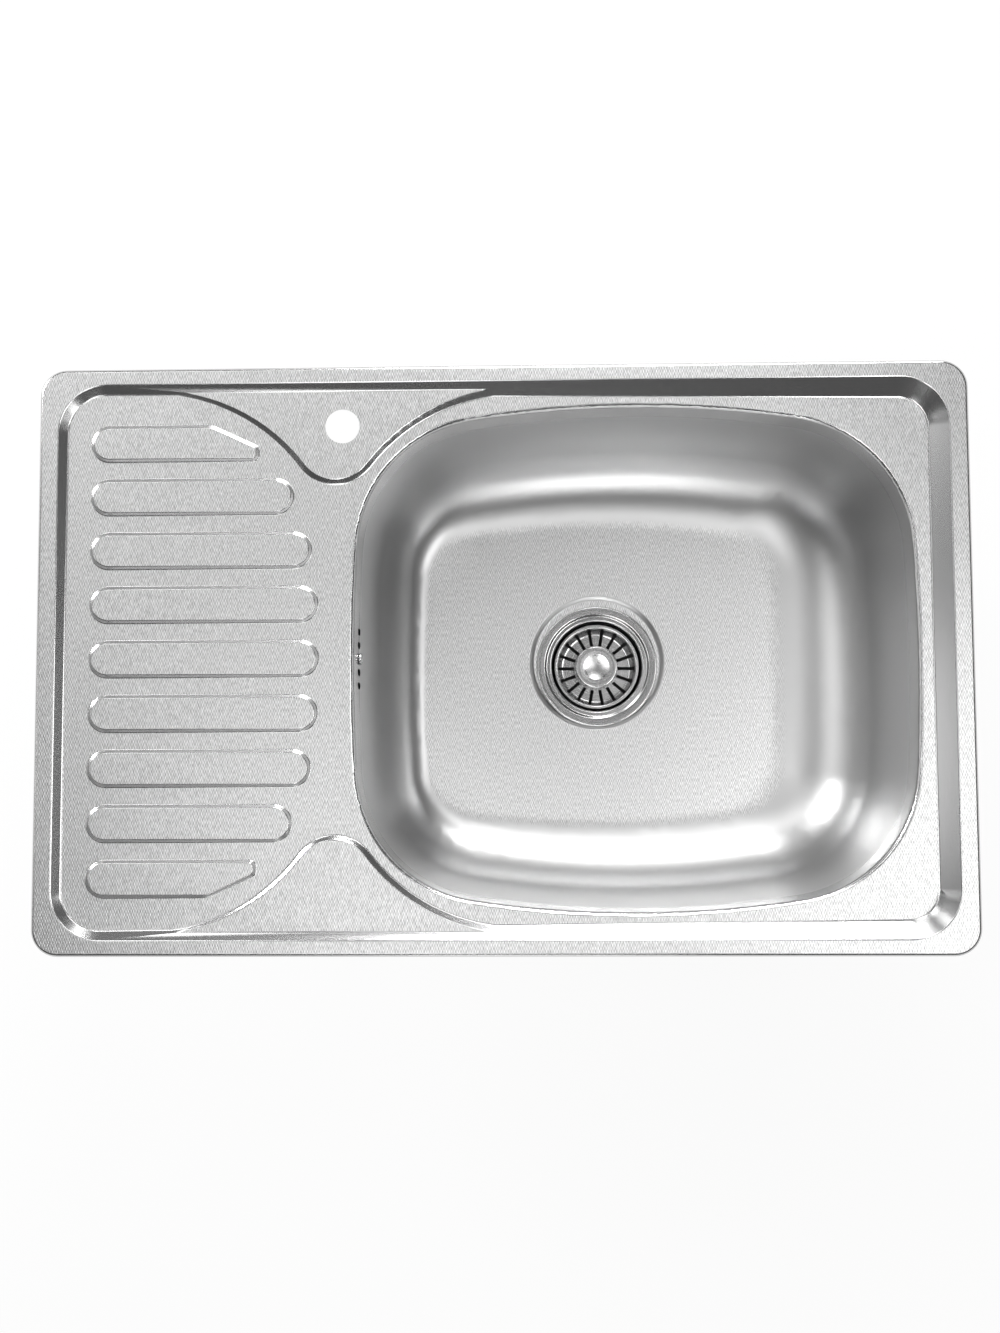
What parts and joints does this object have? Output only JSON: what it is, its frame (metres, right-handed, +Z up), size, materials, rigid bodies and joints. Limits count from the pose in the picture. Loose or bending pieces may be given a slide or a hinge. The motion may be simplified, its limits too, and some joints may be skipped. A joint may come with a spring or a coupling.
{
  "type": "inset kitchen sink",
  "caption": "Inset stainless kitchen sink: pressed sheet with a ribbed drainer and a deep rounded bowl, a lift-out basket strainer waste, an overflow and clips that clamp it in a worktop.",
  "frame": {"origin": "middle of the rim's outline, on the plane of the worktop's upper face", "axes": "+X along the length from the drainer to the bowl, +Y from the user towards the tap, +Z up"},
  "size_m": [0.76, 0.48, 0.284],
  "materials": {
    "textured_stainless": "stainless sheet with a fine linen emboss, drawn smooth and satin on the bowl's walls",
    "polished_stainless": "polished stainless",
    "zinc_plated_steel": "bright zinc plate",
    "brass": "turned",
    "black_rubber": "matt",
    "foam_strip": "closed-cell foam",
    "damping_pad": "matt bituminous sheet",
    "white_plastic": "moulded, fine matt",
    "nylon": "natural"
  },
  "bodies": {
    "sink": {"sink_shell": "textured_stainless", "rim_seal": "foam_strip", "sound_pads": "damping_pad", "clip_hangers": "zinc_plated_steel", "clip_nuts": "zinc_plated_steel", "strainer_cup": "polished_stainless", "strainer_gasket": "black_rubber", "waste_gasket": "black_rubber", "waste_body": "white_plastic", "clamp_screw": "polished_stainless", "clamp_nut": "brass", "overflow_gasket": "black_rubber", "overflow_housing": "white_plastic", "overflow_screw": "polished_stainless", "overflow_pipe": "white_plastic", "pipe_nuts": "white_plastic", "pipe_seals": "black_rubber"},
    "basket": {"basket_cup": "polished_stainless", "basket_knob": "polished_stainless", "basket_stem": "polished_stainless", "basket_stopper": "black_rubber", "basket_catch": "nylon"},
    "clip_screw_1": {"clip_screw_1": "zinc_plated_steel"},
    "clip_claw_1": {"clip_claw_1": "zinc_plated_steel"},
    "clip_screw_2": {"clip_screw_2": "zinc_plated_steel"},
    "clip_claw_2": {"clip_claw_2": "zinc_plated_steel"},
    "clip_screw_3": {"clip_screw_3": "zinc_plated_steel"},
    "clip_claw_3": {"clip_claw_3": "zinc_plated_steel"},
    "clip_screw_4": {"clip_screw_4": "zinc_plated_steel"},
    "clip_claw_4": {"clip_claw_4": "zinc_plated_steel"},
    "clip_screw_5": {"clip_screw_5": "zinc_plated_steel"},
    "clip_claw_5": {"clip_claw_5": "zinc_plated_steel"},
    "clip_screw_6": {"clip_screw_6": "zinc_plated_steel"},
    "clip_claw_6": {"clip_claw_6": "zinc_plated_steel"}
  },
  "joints": [
    {"name": "basket_lift", "type": "slide", "parent": "sink", "child": "basket", "axis": [0, 0, 1], "range_m": [0, 0.27]},
    {"name": "clip_lift_1", "type": "slide", "parent": "sink", "child": "clip_screw_1", "axis": [0, 0, 1], "range_m": [0, 0.014]},
    {"name": "clip_swing_1", "type": "hinge", "parent": "clip_screw_1", "child": "clip_claw_1", "pos_m": [-0.33, 0.2055, -0.0535], "axis": [0, 0, 1], "range_deg": [0, 90]},
    {"name": "clip_lift_2", "type": "slide", "parent": "sink", "child": "clip_screw_2", "axis": [0, 0, 1], "range_m": [0, 0.014]},
    {"name": "clip_swing_2", "type": "hinge", "parent": "clip_screw_2", "child": "clip_claw_2", "pos_m": [-0.095, 0.2055, -0.0535], "axis": [0, 0, 1], "range_deg": [0, 90]},
    {"name": "clip_lift_3", "type": "slide", "parent": "sink", "child": "clip_screw_3", "axis": [0, 0, 1], "range_m": [0, 0.014]},
    {"name": "clip_swing_3", "type": "hinge", "parent": "clip_screw_3", "child": "clip_claw_3", "pos_m": [0.312, 0.199, -0.0535], "axis": [0, 0, 1], "range_deg": [0, 90]},
    {"name": "clip_lift_4", "type": "slide", "parent": "sink", "child": "clip_screw_4", "axis": [0, 0, 1], "range_m": [0, 0.014]},
    {"name": "clip_swing_4", "type": "hinge", "parent": "clip_screw_4", "child": "clip_claw_4", "pos_m": [-0.33, -0.2055, -0.0535], "axis": [0, 0, -1], "range_deg": [0, 90]},
    {"name": "clip_lift_5", "type": "slide", "parent": "sink", "child": "clip_screw_5", "axis": [0, 0, 1], "range_m": [0, 0.014]},
    {"name": "clip_swing_5", "type": "hinge", "parent": "clip_screw_5", "child": "clip_claw_5", "pos_m": [-0.095, -0.2055, -0.0535], "axis": [0, 0, -1], "range_deg": [0, 90]},
    {"name": "clip_lift_6", "type": "slide", "parent": "sink", "child": "clip_screw_6", "axis": [0, 0, 1], "range_m": [0, 0.014]},
    {"name": "clip_swing_6", "type": "hinge", "parent": "clip_screw_6", "child": "clip_claw_6", "pos_m": [0.312, -0.199, -0.0535], "axis": [0, 0, -1], "range_deg": [0, 90]}
  ]
}
